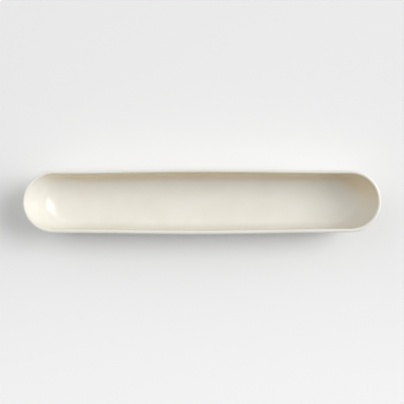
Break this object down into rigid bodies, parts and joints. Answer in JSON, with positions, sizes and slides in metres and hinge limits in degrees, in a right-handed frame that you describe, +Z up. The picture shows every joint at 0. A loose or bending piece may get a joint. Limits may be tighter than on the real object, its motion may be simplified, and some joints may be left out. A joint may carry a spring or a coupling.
{
  "type": "olive dish",
  "caption": "Long narrow deep dish with round ends, gently bowed sides and a rounded lip, cream glaze over stoneware with a dry foot ring, for serving olives.",
  "frame": {"origin": "under the middle of the dish, on the surface that it stands on", "axes": "+X along the dish, +Y across it, +Z up"},
  "size_m": [0.319, 0.0582, 0.038],
  "materials": {
    "fired_clay": "matte, unglazed",
    "cream_glaze": "glossy cream glaze"
  },
  "bodies": {
    "root": {"clay_body": "fired_clay", "glaze_coat": "cream_glaze", "base_glaze": "cream_glaze"}
  },
  "joints": []
}
